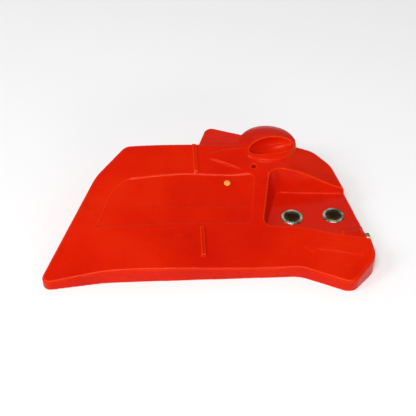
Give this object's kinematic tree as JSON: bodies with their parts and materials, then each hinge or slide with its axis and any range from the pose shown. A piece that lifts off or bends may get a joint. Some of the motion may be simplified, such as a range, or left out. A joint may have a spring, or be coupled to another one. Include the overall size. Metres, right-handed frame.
{
  "type": "chainsaw clutch cover",
  "caption": "Wedge-shaped moulded clutch cover for a chainsaw with a nut pocket, steel stud sleeves, a round finger-grip boss, and the chain brake and chain tensioner built inside.",
  "frame": {"origin": "midway between the two bar-stud bores, on the face that clamps the guide bar", "axes": "+X forward along the guide bar, +Y to the top of the saw, +Z outward from the saw"},
  "size_m": [0.2406, 0.1524, 0.0415],
  "materials": {
    "cover": "satin gloss moulding",
    "zinc_steel": "yellow zinc plate",
    "plate_steel": "bright rolled sheet",
    "band_steel": "blued spring strip",
    "spring_steel": "oiled black",
    "link_steel": "tumbled stampings",
    "pin_steel": "ground",
    "screw_steel": "black oxide"
  },
  "bodies": {
    "cover": {"cover_shell": "cover", "rear_stud_bushing": "zinc_steel", "front_stud_bushing": "zinc_steel", "guide_plate": "plate_steel", "guide_plate_screws": "screw_steel", "mechanism_cover": "plate_steel", "mechanism_cover_screws": "screw_steel", "brake_band": "band_steel", "band_anchor_pin": "pin_steel", "spring_seat": "plate_steel", "brake_spring": "spring_steel", "knee_pivot_pin": "pin_steel"},
    "lever": {"knee_lever": "link_steel"},
    "link": {"knee_link": "link_steel", "knee_joint_pin": "pin_steel", "plunger_pin": "pin_steel"},
    "plunger": {"spring_plunger": "link_steel"},
    "screw": {"tension_screw": "zinc_steel", "tension_screw_clip": "spring_steel"},
    "slider": {"tension_block": "link_steel", "tension_pin": "pin_steel"}
  },
  "joints": [
    {"name": "brake_lever", "type": "hinge", "parent": "cover", "child": "lever", "pos_m": [-0.032, 0.05, 0.007], "axis": [0, 0, 1], "range_deg": [0, 36]},
    {"name": "knee_link", "type": "hinge", "parent": "lever", "child": "link", "pos_m": [-0.04333, 0.05823, 0.005], "axis": [0, 0, 1], "range_deg": [-72.1, 0]},
    {"name": "brake_plunger", "type": "slide", "parent": "cover", "child": "plunger", "axis": [-1, 0, 0], "range_m": [0, 0.0054], "deforming": ["brake_spring", "brake_band"]},
    {"name": "tension_slide", "type": "slide", "parent": "cover", "child": "slider", "axis": [1, 0, 0], "range_m": [-0.004, 0.004]},
    {"name": "tension_screw_turn", "type": "hinge", "parent": "cover", "child": "screw", "pos_m": [0.036, -0.019, 0.0026], "axis": [1, 0, 0], "range_deg": [-1802, 1802]}
  ],
  "couplings": [
    {"joint": "knee_link", "follows": "brake_lever", "ratio": -2},
    {"joint": "brake_plunger", "follows": "brake_lever", "m_per_rad": 0.0085109},
    {"joint": "tension_screw_turn", "follows": "tension_slide", "rad_per_m": -7854}
  ]
}
